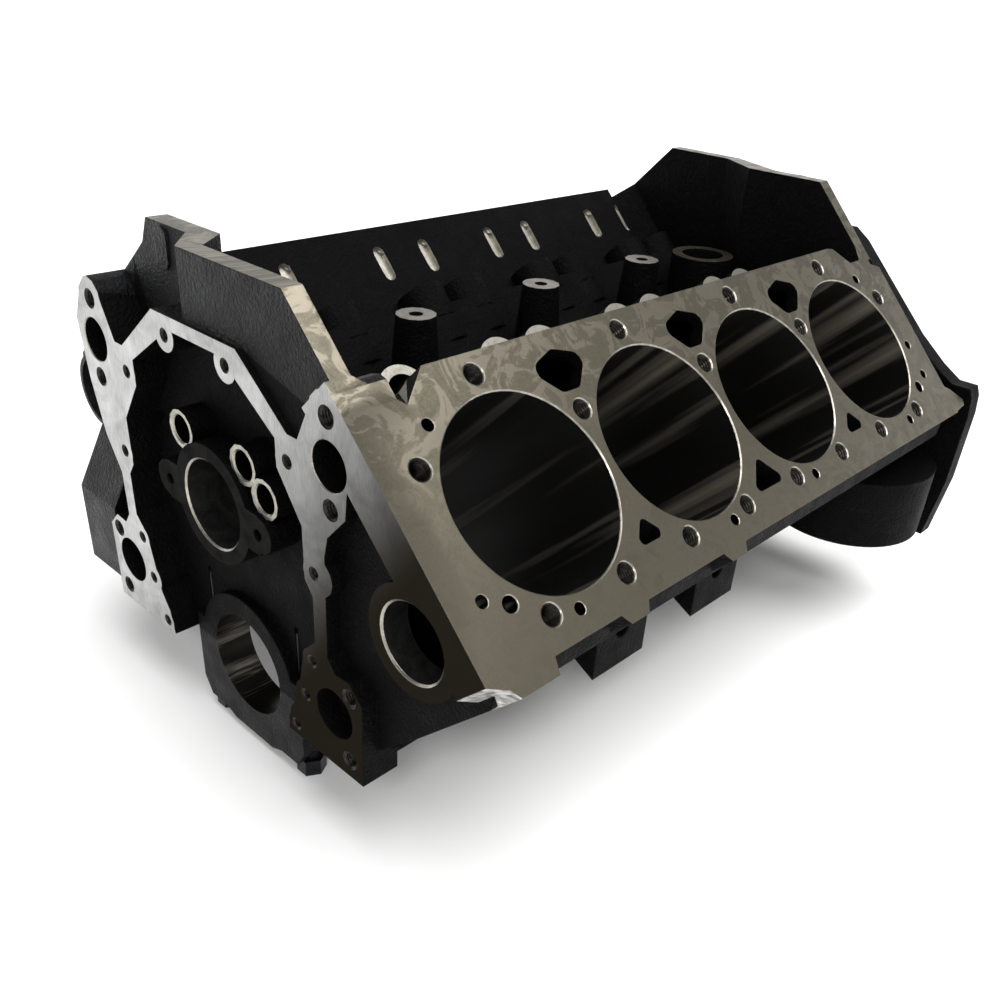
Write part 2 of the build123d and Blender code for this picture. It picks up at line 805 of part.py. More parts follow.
def crank_line():
    """Bores along the crank and the camshaft, with the cap registers, cap bolt and pan bolt holes."""
    relief = 6
    pan_plane = Plane.XY.offset(pan_rail_z)
    waist = [(pan_rail_waist, first_web_y + 4), (pan_rail_waist, 78), (pan_rail_half + 1, 96)]
    waist.append((pan_rail_half + 1, first_web_y + 4))
    with BuildPart() as line:
        add(rounds([(0, 0)], main_bore_radius, 0, bell_face_y))
        add(rounds([(0, cam_height)], cam_bore_radius, 0, bell_face_y))
        for k, (front, back) in enumerate(cap_spans()):
            notch = cap_half(k) + register_clearance
            register = mirrored([(notch, pan_rail_z - 1), (notch, 0)])
            add(prism(register, front - relief, back + relief))
            add(uprights(cap_bolts(k), cap_bolt_radius + cap_bolt_clearance, 0, cap_bolt_depth, drill_sides))
        with BuildSketch(pan_plane):
            with Locations((0, mid_y)):
                with GridLocations(2 * (pan_rail_half - pan_bolt_inset), pan_bolt_pitch, 2, pan_bolt_count):
                    RegularPolygon(pan_bolt_radius, drill_sides)
        extrude(amount=pan_bolt_depth)
        with BuildSketch(pan_plane):
            for side in (1, -1):
                with BuildLine():
                    Polyline(*[(side * x, y) for x, y in waist], close=True)
                make_face()
        extrude(amount=pan_rail_height - pan_rail_z)
    return line.part


def make_cap(k):
    """One main bearing cap: half of the main bore, seated in its register."""
    front, back = cap_spans()[k]
    half = cap_half(k)
    outline = [(half, 0), (half, 12 - cap_drop), (half - 7, -cap_drop), (cap_bolt_x - 14, -cap_drop), (20, -cap_belly)]
    with BuildPart() as cap:
        add(prism(mirrored(outline), front, back))
        add(rounds([(0, 0)], main_bore_radius, front, back), mode=Mode.SUBTRACT)
        with BuildSketch(Plane.XY):
            spots(cap_bolts(k), cap_bolt_radius + cap_bolt_clearance, drill_sides)
        extrude(amount=-cap_belly, mode=Mode.SUBTRACT)
    return cap.part


def make_cap_bolt(centre):
    """A hexagon-headed main cap bolt, its head under the cap."""
    with BuildPart() as bolt:
        with BuildSketch(Plane.XY.offset(-cap_drop - bolt_head_height)):
            with Locations(centre):
                RegularPolygon(bolt_head_across / 2, 6, major_radius=False)
        extrude(amount=bolt_head_height)
        add(uprights([centre], cap_bolt_radius, -cap_drop, cap_bolt_depth - cap_bolt_end_gap, drill_sides))
    return bolt.part


def make_block():
    """The whole casting with its machining."""
    bank = make_bank()
    jacket = make_jacket()
    holes = bank_holes()
    grooves = pushrod_grooves()
    right_bank = make_right_bank(bank)
    with BuildPart() as block:
        add(make_crankcase())
        add(bank)
        add(right_bank)
        add(make_bays(), mode=Mode.SUBTRACT)
        add(make_valley_walls())
        add(make_chest_wall())
        add(prism(mirrored(chest_edge()), 0, timing_floor), mode=Mode.SUBTRACT)
        add(make_timing_face())
        add(make_cam_front())
        add(make_valley_posts())
        add(make_bell())
        add(make_side_bosses())
        for core in (jacket, holes, grooves):
            add(core, mode=Mode.SUBTRACT)
            add(turned(core), mode=Mode.SUBTRACT)
        add(valley_holes(), mode=Mode.SUBTRACT)
        add(front_holes(), mode=Mode.SUBTRACT)
        add(bell_holes(), mode=Mode.SUBTRACT)
        add(side_holes(), mode=Mode.SUBTRACT)
        add(crank_line(), mode=Mode.SUBTRACT)
    return block.part


def write(part, name):
    """Label a finished piece and write it as one STEP file."""
    part.label = name
    export_step(part, f"parts/{name}.step")
    print(name, round(part.volume), len(part.solids()), len(part.faces()))


write(make_block(), "cylinder_block")
write(make_bell_dowels(), "bell_housing_dowels")
for k in range(bore_count + 1):
    write(make_cap(k), f"main_cap_{k + 1}")
    for j, centre in enumerate(cap_bolts(k)):
        write(make_cap_bolt(centre), f"main_cap_{k + 1}_bolt_{j + 1}")
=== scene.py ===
"""A bare ninety-degree V8 cylinder block in a plain white studio.

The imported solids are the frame: the crank axis is Y, +Y runs to the bell face, +Z is up and +X is the
left bank. Sizes here are in millimetres and are turned into metres where a mesh or a lamp is made.
Deck coordinates are y along the crank, u across a deck towards the valley and n out of the deck.
"""

import json
from math import cos, pi, radians, sin

import bmesh
import bpy
import numpy as np
from mathutils import Matrix, Vector


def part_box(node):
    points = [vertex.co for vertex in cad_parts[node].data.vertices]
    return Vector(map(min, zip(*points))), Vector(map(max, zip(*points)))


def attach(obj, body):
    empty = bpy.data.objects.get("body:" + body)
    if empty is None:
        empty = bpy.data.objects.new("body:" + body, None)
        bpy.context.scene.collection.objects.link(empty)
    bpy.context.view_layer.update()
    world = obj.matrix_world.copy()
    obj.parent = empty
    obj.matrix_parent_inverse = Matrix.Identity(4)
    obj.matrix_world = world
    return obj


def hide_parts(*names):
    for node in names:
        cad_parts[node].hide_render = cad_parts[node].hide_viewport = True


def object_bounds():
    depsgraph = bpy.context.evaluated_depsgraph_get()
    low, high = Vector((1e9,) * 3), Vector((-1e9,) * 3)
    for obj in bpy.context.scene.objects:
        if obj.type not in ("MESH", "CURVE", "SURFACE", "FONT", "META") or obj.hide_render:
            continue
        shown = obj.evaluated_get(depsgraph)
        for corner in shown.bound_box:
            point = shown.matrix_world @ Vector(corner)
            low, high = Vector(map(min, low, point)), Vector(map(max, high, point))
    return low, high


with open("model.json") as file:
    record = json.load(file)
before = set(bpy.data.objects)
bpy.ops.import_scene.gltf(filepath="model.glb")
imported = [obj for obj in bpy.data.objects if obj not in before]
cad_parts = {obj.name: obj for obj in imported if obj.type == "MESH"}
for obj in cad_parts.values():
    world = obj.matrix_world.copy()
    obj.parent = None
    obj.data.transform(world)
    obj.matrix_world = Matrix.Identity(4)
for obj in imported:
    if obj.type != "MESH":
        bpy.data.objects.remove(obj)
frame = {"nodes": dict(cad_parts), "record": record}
cad_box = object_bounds()

mm = 0.001
slope = cos(radians(45))
mounts = {m["name"]: m for m in frame["record"]["mounts"]}


def mount_at(name):
    """Place of one of the record's mounts, in millimetres."""
    return np.array(mounts[name]["pos_m"]) / mm


# Sizes read from the frame
bore_radius = mounts["left_cylinder_1"]["dims"]["r_mm"]
bore_ys = [mount_at(f"left_cylinder_{k}")[1] for k in (1, 2, 3, 4)]
bore_spacing = bore_ys[1] - bore_ys[0]
mid_y = (bore_ys[0] + mount_at("right_cylinder_1")[1]) / 2
deck_n = (mount_at("left_deck")[0] + mount_at("left_deck")[2]) * slope
bell_y = mount_at("bell_face")[1]
cam_z = mount_at("cam_bore")[2]
cam_radius = mounts["cam_bore"]["dims"]["r_mm"]
main_radius = mounts["main_bore"]["dims"]["r_mm"]
plug_radius = mounts["left_front_core_plug"]["dims"]["r_mm"]
bank_stagger = 2 * mid_y - bore_ys[-1] - bore_ys[0]
bank_length = 2 * mid_y - bank_stagger
rear_y = bank_length + bank_stagger
bay_ys = [y + bank_stagger / 2 for y in bore_ys]
web_ys = [y + bore_spacing / 2 for y in bay_ys[:-1]]

# Heights and faces of the casting
wall_top = 250.0
post_top = 193.4
lifter_top = 172.0
lifter_radius = 10.7
lifter_u = cam_z * slope
lifter_shifts = (43.3, 6.3)
lifter_boss_radius = 16.8
lifter_boss_depth = 24.0
distributor_top = 186.0
distributor_pad_radius = 26.0
valley_wall_u = 74.4
cam_face_y = 0.9
cam_face_radius = 62.0
gallery_face_y = 4.0
gallery_radius = 8.0
port_radius = 12.5
pan_rail_z = -3.2
mount_face_x = 165.0
pump_pad_x = 167.0
filter_z = 14.0
filter_slack = 4.2

# Relief grooves in the valley walls: a capsule cutter of this radius and half length goes in this deep
groove_n = 202.0
groove_depth = 3.5
groove_radius = 4.64
groove_half = 13.0
groove_spread = 20.3
groove_offsets = (-7.0, -1.4, -7.0, -1.4)

# Holes: radius, how far the mouth is countersunk, depth, and pitch of the thread or 0
head_hole = (5.55, 0.9, 36.0, 1.8)
cover_hole = (3.2, 0.7, 15.0, 1.4)
pump_hole = (4.8, 0.9, 19.0, 1.6)
steam_hole = (3.3, 0.35, 12.5, 0)
dowel_hole = (4.2, 0.5, 10.2, 0)
lifter_hole = (lifter_radius + 0.1, 0.5, 70, 0)
mount_hole = (5.4, 0.8, 23, 0)
cam_plate_hole = (3.2, 0.6, 14, 0)
post_hole = (3.9, 0.5, 19, 0)
wall_hole = (6.1, 1.0, 15, 0)
bell_hole = (5.3, 0.8, 16, 0)
drill_point = 0.55
thread_depth = 0.8
thread_reach = 16
hole_sides = 32
thread_sides = 24
boss_sides = 40
mouth_sides = 64
bore_sides = 96

# Coolant windows of a deck: y from the middle between two bores and u of each corner, then corner radii
window_radii = (6.0, 3.2)
upper_window = [(0, 64.0), (-22, 56.5), (-6.5, 40.0), (6.5, 40.0), (22, 56.5)]
lower_bases = ((12.3, -48), (16.7, -53), (12.3, -48))
lower_windows = [[(0, -33.6), (-half, base), (half, base)] for half, base in lower_bases]
window_depth = 14.0
cover_margin = 1.15
cover_thickness = 8.0

# Fillers end this far outside the casting and cutters end this far outside it, so no two faces coincide
proud = 0.003
clear = 1.0

# The bolt boss at each front corner is trimmed level with the deck: from y to y, and from u to u
trim_y = 48
trim_u = (54, 86)
trim_height = 5

# Raised capsule on the far half of the front rail: its corners in x and z, and how far it stands out
far_wall_y = 21.05
pad_corners = [(-62, 226), (-50.5, 226), (-50.5, 248.6), (-62, 248.6)]
pad_radius = 5.4
pad_rise = 1.3
pad_root = -3

# Which faces count as lying on a plane, looking straight along an axis or square to it
on_plane = 0.2
square_on = 0.99
side_on = 0.3
slanted = 0.95

# Finishes of the casting, by their place in the list of its materials
CAST, MILLED, GROUND, HONED, THREAD, PALE, BRIGHT, DARK, SCUFF, SHADE, BORED = range(11)

# Finishes of a bearing cap, by their place in its own list
CAP_BORED, CAP_JOINT = 1, 2

# Sizes in the materials: sand grain and slow swells of the mould, drawn twice as coarse as the sand is
# so that they show, depth of the grain, cutter marks and the break along a machined edge
sand_grain = 1.9
mould_swell = 16.0
grain_depth = 1.5
cutter_depth = 0.05
edge_break = 0.5
board_mottling = 900.0

# Sockets of a Mix node that is set to colour: its two colours, and its result
first_colour, second_colour, mixed_colour = 6, 7, 2


def linear(code):
    """Turn an sRGB hex code into the linear colour that a shader takes."""
    parts = [int(code[k:k + 2], 16) / 255 for k in (1, 3, 5)]
    return tuple(c / 12.92 if c <= 0.04045 else ((c + 0.055) / 1.055) ** 2.4 for c in parts) + (1.0,)


def per(size):
    """Pattern scale on Object coordinates for features of a size in millimetres."""
    return 1 / (size * mm)


def add_node(tree, kind, inputs=(), **settings):
    """Add one node with its own settings; an input is a plain value or a pair of node and output."""
    item = tree.nodes.new(kind)
    for key, value in settings.items():
        setattr(item, key, value)
    for key, value in dict(inputs).items():
        if isinstance(value, tuple) and isinstance(value[0], bpy.types.Node):
            tree.links.new(value[0].outputs[value[1]], item.inputs[key])
        else:
            item.inputs[key].default_value = value
    return item


def new_material(name):
    """An empty node material with the Object coordinates that its patterns read."""
    material = bpy.data.materials.new(name)
    material.use_nodes = True
    tree = material.node_tree
    tree.nodes.clear()
    return material, tree, (add_node(tree, "ShaderNodeTexCoord"), "Object")


def painted_cast_iron(name, dark, glint, roughness, edge_radius, shine):
    """Grey cast iron under black engine paint, as it left a sand mould.

    The eye gets a nearly black skin whose sand grain catches cool pinpoints of light, partly from
    its bumps and partly painted into its colour as glints, over slow swells of the mould, and soft
    rounded edges with no machined corner.
    """
    material, tree, place = new_material(name)
    grain = add_node(
        tree,
        "ShaderNodeTexNoise",
        {"Vector": place, "Scale": per(sand_grain), "Detail": 3.0, "Roughness": 0.6},
    )
    swell = add_node(
        tree, "ShaderNodeTexNoise", {"Vector": place, "Scale": per(mould_swell), "Detail": 2.0}
    )
    # Painted glints: the highest sand grains take the lighter glint colour
    peaks = add_node(
        tree,
        "ShaderNodeMapRange",
        {"Value": (grain, "Fac"), "From Min": 0.54, "From Max": 0.76, "To Min": 0.0, "To Max": 0.9},
    )
    colour = add_node(
        tree,
        "ShaderNodeMix",
        {"Factor": (peaks, "Result"), first_colour: linear(dark), second_colour: linear(glint)},
        data_type="RGBA",
    )
    gloss = add_node(
        tree,
        "ShaderNodeMapRange",
        {
            "Value": (swell, "Fac"),
            "From Min": 0.3,
            "From Max": 0.7,
            "To Min": roughness - 0.07,
            "To Max": roughness + 0.1,
        },
    )
    rounded_edge = add_node(tree, "ShaderNodeBevel", {"Radius": edge_radius * mm}, samples=6)
    height = add_node(
        tree, "ShaderNodeMath", {0: (swell, "Fac"), 1: 0.8, 2: (grain, "Fac")}, operation="MULTIPLY_ADD"
    )
    bump = add_node(
        tree,
        "ShaderNodeBump",
        {
            "Height": (height, "Value"),
            "Strength": 1.0,
            "Distance": grain_depth * mm,
            "Normal": (rounded_edge, "Normal"),
        },
    )
    shader = add_node(
        tree,
        "ShaderNodeBsdfPrincipled",
        {
            "Base Color": (colour, mixed_colour),
            "Roughness": (gloss, "Result"),
            "Specular IOR Level": shine,
            "Normal": (bump, "Normal"),
        },
    )
    add_node(tree, "ShaderNodeOutputMaterial", {"Surface": (shader, "BSDF")})
    return material


def machined_iron(
    name,
    light,
    dark,
    roughness,
    gap,
    swirl,
    stretch=(1, 1, 1),
    metal=1.0,
    deck=False,
    highlight_streaks=False,
    painted_fade=None,
    patches=None,
):
    """Bare iron or steel cut by a tool and left oiled.

    The eye gets a grey metal with cloudy stains as wide as swirl, the faint lines that the cutter left
    a gap apart, and a thin bright break along each edge. Where the stains are drawn out along the
    stretch, only their highest share is light: streaks of painted highlight on a dark ground. A painted
    shade darkens the colour along a direction and takes the metal away with it, and patches are dried
    coolant with crisp rims towards the valley edge of a deck.
    """
    material, tree, place = new_material(name)
    if deck:
        place = (add_node(tree, "ShaderNodeAttribute", attribute_name="deck_place"), "Vector")
    lay = (add_node(tree, "ShaderNodeMapping", {"Vector": place, "Scale": stretch}), "Vector")
    stain = add_node(
        tree,
        "ShaderNodeTexNoise",
        {
            "Vector": lay if highlight_streaks else place,
            "Scale": per(swirl),
            "Detail": 2.0 if highlight_streaks else 6.0,
            "Roughness": 0.62,
            "Distortion": 0.0 if highlight_streaks else 1.6,
        },
    )
    lines = add_node(tree, "ShaderNodeTexNoise", {"Vector": lay, "Scale": per(gap), "Detail": 3.0})
    mix = add_node(
        tree, "ShaderNodeMath", {0: (lines, "Fac"), 1: 0.5, 2: (stain, "Fac")}, operation="MULTIPLY_ADD"
    )
    # Painted highlight: drawn-out stains light only their highest share, as bright streaks on a dark ground
    low = 0.78 if highlight_streaks else 0.55
    span = {"Value": (mix, "Value"), "From Min": low, "From Max": low + 0.4}
    cloud = add_node(tree, "ShaderNodeMapRange", span)
    gloss = add_node(
        tree, "ShaderNodeMapRange", span | {"To Min": roughness + 0.1, "To Max": roughness - 0.05}
    )
    colour = add_node(
        tree,
        "ShaderNodeMix",
        {"Factor": (cloud, "Result"), first_colour: linear(dark), second_colour: linear(light)},
        data_type="RGBA",
    )
    if patches:
        dried, first, last = patches
        parts = add_node(tree, "ShaderNodeSeparateXYZ", {"Vector": place})
        zone = add_node(
            tree,
            "ShaderNodeMapRange",
            {"Value": (parts, "Y"), "From Min": first * mm, "From Max": last * mm, "To Max": 0.6},
        )
        rim = add_node(
            tree, "ShaderNodeMapRange", {"Value": (stain, "Fac"), "From Min": 0.5, "From Max": 0.53}
        )
        share = add_node(
            tree, "ShaderNodeMath", {0: (zone, "Result"), 1: (rim, "Result")}, operation="MULTIPLY"
        )
        colour = add_node(
            tree,
            "ShaderNodeMix",
            {
                "Factor": (share, "Value"),
                first_colour: (colour, mixed_colour),
                second_colour: linear(dried),
            },
            data_type="RGBA",
        )
    metallic = metal
    # Painted shade: along the direction the colour darkens to the shade colour and the metal goes with it
    if painted_fade:
        shade_colour, direction, start, end = painted_fade
        along = add_node(tree, "ShaderNodeVectorMath", {0: place, 1: direction}, operation="DOT_PRODUCT")
        share = add_node(
            tree,
            "ShaderNodeMapRange",
            {"Value": (along, "Value"), "From Min": start * mm, "From Max": end * mm},
            interpolation_type="SMOOTHSTEP",
        )
        colour = add_node(
            tree,
            "ShaderNodeMix",
            {
                "Factor": (share, "Result"),
                first_colour: (colour, mixed_colour),
                second_colour: linear(shade_colour),
            },
            data_type="RGBA",
        )
        bare = add_node(tree, "ShaderNodeMath", {0: 1.0, 1: (share, "Result")}, operation="SUBTRACT")
        metallic = (bare, "Value")
    edge = add_node(tree, "ShaderNodeBevel", {"Radius": edge_break * mm}, samples=4)
    bump = add_node(
        tree,
        "ShaderNodeBump",
        {
            "Height": (lines, "Fac"),
            "Strength": 0.3,
            "Distance": cutter_depth * mm,
            "Normal": (edge, "Normal"),
        },
    )
    skin = {
        "Base Color": (colour, mixed_colour),
        "Metallic": metallic,
        "Roughness": (gloss, "Result"),
        "Normal": (bump, "Normal"),
    }
    if painted_fade or metal == 0:
        skin["Specular IOR Level"] = 0.0
    shader = add_node(tree, "ShaderNodeBsdfPrincipled", skin)
    add_node(tree, "ShaderNodeOutputMaterial", {"Surface": (shader, "BSDF")})
    return material


def matt_board():
    """Matt white studio board: even, with a breath of mottling that keeps it from looking cut out."""
    material, tree, place = new_material("matt_white_board")
    cloud = add_node(
        tree, "ShaderNodeTexNoise", {"Vector": place, "Scale": per(board_mottling), "Detail": 2.0}
    )
    colour = add_node(
        tree,
        "ShaderNodeMix",
        {"Factor": (cloud, "Fac"), first_colour: linear("#f4f4f3"), second_colour: linear("#f9f9f9")},
        data_type="RGBA",
    )
    shader = add_node(
        tree,
        "ShaderNodeBsdfPrincipled",
        {"Base Color": (colour, mixed_colour), "Roughness": 0.9, "Specular IOR Level": 0.1},
    )
    add_node(tree, "ShaderNodeOutputMaterial", {"Surface": (shader, "BSDF")})
    return material


def unit(direction):
    """The direction at a length of one."""
    direction = np.array(direction, float)
    return direction / np.linalg.norm(direction)


def across(side, y, u, n):
    """Turn deck coordinates of one bank, side 1 for left and -1 for right, into x, y and z.

    x is side * (n - u) / root 2 and z is (n + u) / root 2; the right bank's y runs from the rear.
    """
    x = (n - u) * slope
    return np.array([side * x, y if side > 0 else 2 * mid_y - y, (n + u) * slope])


def lathe(profile, places, axis, sides=hole_sides):
    """Bodies of revolution: each (radius, height) of the profile goes round the axis once, at every place.

    A point is place + radius * (cos a * side + sin a * other) + height * axis, with a round the turn.
    """
    radius, height = np.array(profile, float).T
    axis = unit(axis)
    side = unit(np.cross(axis, (0.3, 0.2, 1.0) if abs(axis[2]) < 0.9 else (1.0, 0, 0)))
    other = np.cross(axis, side)
    turn = np.arange(sides) * 2 * pi / sides
    ring = np.cos(turn)[:, None] * side + np.sin(turn)[:, None] * other
    body = radius[:, None, None] * ring + height[:, None, None] * axis
    points = np.array(places, float).reshape(-1, 1, 1, 3) + body
    index = np.arange(points.size // 3).reshape(points.shape[:3])
    after = np.roll(index, -1, 2)
    quads = np.stack([index[:, :-1], after[:, :-1], after[:, 1:], index[:, 1:]], -1)
    return points.reshape(-1, 3), quads.reshape(-1, 4)


def join(parts):
    """One set of points and faces from several."""
    shift = np.cumsum([0] + [len(points) for points, _ in parts[:-1]])
    return np.vstack([points for points, _ in parts]), np.vstack([f + k for (_, f), k in zip(parts, shift)])


def make_object(name, points, faces):
    """A mesh object from points in millimetres; its poles are closed by merging their doubles."""
    mesh = bpy.data.meshes.new(name)
    mesh.from_pydata((points * mm).tolist(), [], faces.tolist())
    work = bmesh.new()
    work.from_mesh(mesh)
    bmesh.ops.remove_doubles(work, verts=work.verts, dist=1e-6)
    bmesh.ops.recalc_face_normals(work, faces=work.faces)
    work.to_mesh(mesh)
    work.free()
    thing = bpy.data.objects.new(name, mesh)
    bpy.context.scene.collection.objects.link(thing)
    return thing


def smooth(mesh, degrees=32):
    """Smooth shading with sharp edges kept where faces turn by more than the given angle."""
    mesh.shade_smooth()
    mesh.set_sharp_from_angle(angle=radians(degrees))


def drill(places, axis, hole):
    """Cutters for tapped or plain holes, from the tip of the drill out past the countersunk mouth."""
    radius, mouth, depth, _ = hole
    wide = radius + mouth
    tip = -depth - drill_point * radius
    profile = [(0, tip), (radius, -depth), (radius, -mouth), (wide, 0), (wide, clear), (0, clear)]
    return lathe(profile, places, axis)


def thread(places, axis, hole):
    """Closed sleeves with a saw-tooth inner wall, one ridge for each turn of a tapped hole."""
    radius, mouth, depth, pitch = hole
    ridges = int(min(depth - 3, thread_reach) / pitch)
    top = -mouth * 0.6
    root = radius + 0.02
    outer = [(radius + 0.25, top - pitch * ridges), (radius + 0.25, top)]
    inner = [(root, top)]
    for k in range(ridges):
        inner += [(radius - thread_depth, top - pitch * (k + 0.5)), (root, top - pitch * (k + 1))]
    return lathe(outer + inner + outer[:1], places, axis, thread_sides)


def deck_places(side, pairs, n):
    """Places on one bank from (y, u) pairs at height n."""
    return [across(side, y, u, n) for y, u in pairs]


def front_places(pairs, y=0.0):
    """Places on the front of the block from (x, z) pairs, on both sides of the crank axis."""
    return [(side * x, y, z) for x, z in pairs for side in (1, -1)]


# Patterns of holes and bosses: (y, u) on a deck, (x, z) on the front, (x, y, z) elsewhere
head_bolts = [(y, 63.3) for y in bore_ys]
head_bolts += [(bore_ys[0] + bore_spacing * (k - 0.5), 29.0) for k in range(5)]
head_bolts += [(y + side * bore_spacing / 4, -55.4) for y in bore_ys for side in (-1, 1)]
deck_dowels = [(bore_ys[0] - 46.5, -42.2), (bore_ys[-1] + 46.5, -42.2)]
steam_holes = [(bore_ys[0] - 60, -35.4), (bore_ys[-1] + 61, -35.4), (bore_ys[0] - 40, 47)]
steam_holes += [(bore_ys[-1] + 40, 47), (bore_ys[-1] + 61.6, -11.4)]
steam_holes += [(y + shift, -59.4) for y, shift in zip(bore_ys, (-10.5, 11.5, -9.2, 12.8))]
lifters = [(y - shift, lifter_u) for y in bay_ys for shift in lifter_shifts]
groove_ys = [
    y + offset + step * groove_spread for y, offset in zip(bore_ys, groove_offsets) for step in (-1, 1)
]
cover_bolts = [(27.7, 202.3), (74.9, 168.8), (91.75, 114.5), (86.3, 57.6), (79.2, 31.2), (68.5, 3.9)]
lobe_radii = (9.0, 9.2, 8.4, 7.8, 8.8, 7.0)
lobe_depth = 12
pump_bolts = [(106.5, 202.0), (107.3, 156.1), (117, 51), (116.1, 8.2)]
cam_plate_bolts = [(42.7, 114.5)]
galleries = [(29.3, 148.5), (-29.3, 148.5), (47, 136)]
bell_bolts = [(196, 14), (197, 101), (64, 203)]
mount_bolts = [(168, 42), (269.6, 42)]
posts = [(0, y + 1.5, post_top) for y in web_ys]
wall_bolts = [(40, rear_y - 17, 246)]
front = (0, -1, 0)
back = (0, 1, 0)
up = (0, 0, 1)


def rounded(corners, radius, steps=6):
    """Outline of a convex polygon with each corner turned on an arc that touches both its sides.

    The centre lies on the bisector, radius / sin(half the angle) from the corner. A point of the arc is
    centre + radius * the direction that lies at share t between those of the two ends of the arc.
    """
    t = np.linspace(0, 1, steps + 1)[:, None]
    arcs = []
    for k, corner in enumerate(corners):
        before = unit(corners[k - 1] - corner)
        after = unit(corners[(k + 1) % len(corners)] - corner)
        half = np.arccos(np.clip(before @ after, -1, 1)) / 2
        centre = corner + unit(before + after) * radius / sin(half)
        first = corner + before * radius / np.tan(half) - centre
        last = corner + after * radius / np.tan(half) - centre
        spokes = first * (1 - t) + last * t
        arcs.append(centre + spokes / np.linalg.norm(spokes, axis=1, keepdims=True) * radius)
    return np.vstack(arcs)


def prism(place, outline, low, high):
    """Closed prism over a flat outline, from height low to high, with both ends drawn to their middle.

    place turns the outline's two coordinates and a height into x, y and z.
    """
    middle = np.broadcast_to(outline.mean(0), outline.shape)
    rows = [(middle, low), (outline, low), (outline, high), (middle, high)]
    points = np.array([np.stack(np.broadcast_arrays(*place(*row.T, height)), -1) for row, height in rows])
    index = np.arange(4 * len(outline)).reshape(4, -1)
    after = np.roll(index, -1, 1)
    quads = np.stack([index[:-1], after[:-1], after[1:], index[1:]], -1)
    return points.reshape(-1, 3), quads.reshape(-1, 4)


def deck_prism(side, outline, low, high):
    """Prism on one bank over an outline of (y, u), from height low to high out of the deck."""
    return prism(lambda y, u, n: across(side, y, u, n), outline, low, high)


def windows():
    """Corners of every coolant window of a deck with the radius of its corners."""
    for k, lower in enumerate(lower_windows):
        y = (bore_ys[k] + bore_ys[k + 1]) / 2
        for corners, radius in ((upper_window, window_radii[0]), (lower, window_radii[1])):
            yield np.array([(y + dy, u) for dy, u in corners]), radius


def block_fillers():
    """Round bosses for the many-sided ones, and covers that the rounded coolant windows are cut in."""
    parts = []
    wide, deep = lifter_boss_radius, lifter_boss_depth
    boss = [(0, -deep), (wide, -deep), (wide, proud), (0, proud)]
    for side in (1, -1):
        for corners, _ in windows():
            middle = corners.mean(0)
            outset = middle + (corners - middle) * cover_margin
            parts.append(deck_prism(side, outset, deck_n - cover_thickness, deck_n + proud))
        parts.append(lathe(boss, deck_places(side, lifters, lifter_top), (side, 0, 1), boss_sides))
    for bolt, radius in zip(cover_bolts, lobe_radii):
        lobe = [(0, -lobe_depth), (radius, -lobe_depth), (radius, 0), (0, 0)]
        parts.append(lathe(lobe, front_places([bolt]), front, boss_sides))
    pad = rounded(np.array(pad_corners), pad_radius)
    parts.append(prism(lambda x, z, height: (x, far_wall_y - height, z), pad, pad_root, pad_rise))
    return join(parts)


def block_cutters():
    """Every round hole, window and groove of the casting, as one set of closed cutters."""
    turn = np.radians(np.linspace(-90, 90, 9))
    reach = groove_half - groove_radius
    heights = groove_radius * np.sin(turn) + reach * np.sign(turn)
    capsule = np.stack([groove_radius * np.cos(turn), heights], -1)
    groove_u = valley_wall_u - groove_depth + groove_radius
    wall, rim, sunk = bore_radius - 0.1, bore_radius + 0.7, -0.8
    mouth = [(0, sunk), (wall, sunk), (rim, 0), (rim, clear), (0, clear)]
    parts = []
    for side in (1, -1):
        out = (side, 0, 1)
        parts.append(drill(deck_places(side, head_bolts, deck_n), out, head_hole))
        parts.append(drill(deck_places(side, deck_dowels, deck_n), out, dowel_hole))
        parts.append(drill(deck_places(side, steam_holes, deck_n), out, steam_hole))
        parts.append(drill(deck_places(side, lifters, lifter_top), out, lifter_hole))
        parts.append(lathe(mouth, deck_places(side, [(y, 0) for y in bore_ys], deck_n), out, bore_sides))
        pads = [(side * mount_face_x, y, z) for y, z in mount_bolts]
        parts.append(drill(pads, (side, 0, 0), mount_hole))
        for corners, radius in windows():
            parts.append(deck_prism(side, rounded(corners, radius), deck_n - window_depth, deck_n + clear))
        ends = (-clear, trim_y) if side > 0 else (2 * mid_y - trim_y, 2 * mid_y + clear)
        over = np.array([(ends[k], trim_u[j]) for k, j in ((0, 0), (1, 0), (1, 1), (0, 1))], float)
        parts.append(deck_prism(side, over, deck_n + proud, deck_n + trim_height))
        grooves = deck_places(side, [(y, groove_u) for y in groove_ys], groove_n)
        parts.append(lathe(capsule, grooves, out, thread_sides))
    parts.append(drill(front_places(cover_bolts), front, cover_hole))
    parts.append(drill(front_places(pump_bolts), front, pump_hole))
    parts.append(drill(front_places(cam_plate_bolts, cam_face_y), front, cam_plate_hole))
    parts.append(drill(posts, up, post_hole))
    parts.append(drill(wall_bolts, up, wall_hole))
    parts.append(drill(front_places(bell_bolts, bell_y), back, bell_hole))
    for x, y, z, radius, lip in plug_mouths():
        wide = radius + lip
        sunk = -lip - 0.1
        profile = [(0, sunk), (radius - 0.1, sunk), (wide, 0), (wide, clear), (0, clear)]
        parts.append(lathe(profile, [(x, y, z)], front, mouth_sides))
    return join(parts)


def plug_mouths():
    """Countersunk mouths on the front: x, y, z, radius of the bore and width of the lip."""
    left = mount_at("left_front_core_plug")
    port = mount_at("left_pump_port")
    mouths = [(left[0], 0, left[2], plug_radius, 1.1), (0, cam_face_y, cam_z, cam_radius, 1.0)]
    mouths += [(side * port[0], 0, port[2], port_radius, 0.5) for side in (1, -1)]
    mouths += [(x, gallery_face_y, z, gallery_radius, 0.9) for x, z in galleries]
    return mouths


